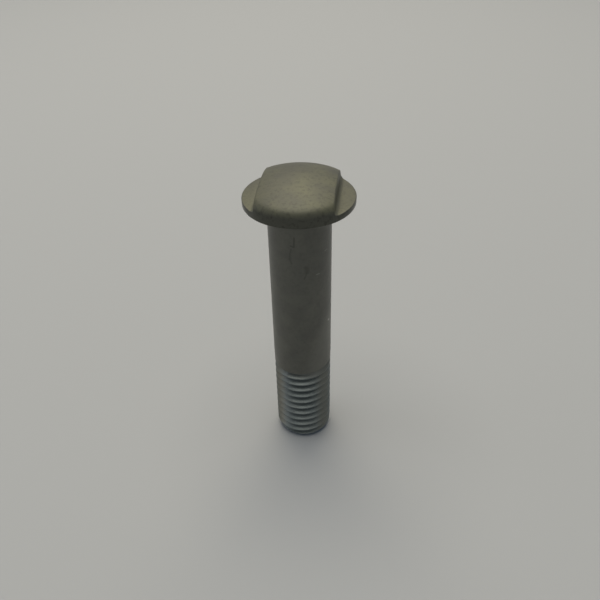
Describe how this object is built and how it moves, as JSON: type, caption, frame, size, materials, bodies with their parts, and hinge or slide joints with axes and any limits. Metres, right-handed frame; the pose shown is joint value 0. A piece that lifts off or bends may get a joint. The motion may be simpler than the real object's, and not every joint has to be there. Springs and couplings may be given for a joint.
{
  "type": "deflector screw",
  "caption": "Screw with a low domed head on a thin round flange, flats cut on the sides of the head, a plain round shank and a coarse right-hand thread at its end.",
  "frame": {"origin": "centre of the threaded end face, at the bottom of the screw as it stands", "axes": "+Z along the axis from the threaded end to the head; the flats of the head face +X and -X"},
  "size_m": [0.0207, 0.0206, 0.0621],
  "materials": {
    "steel": "matt grey, fine blasted, with a faint olive cast"
  },
  "bodies": {
    "root": {"deflector_screw": "steel"}
  },
  "joints": []
}
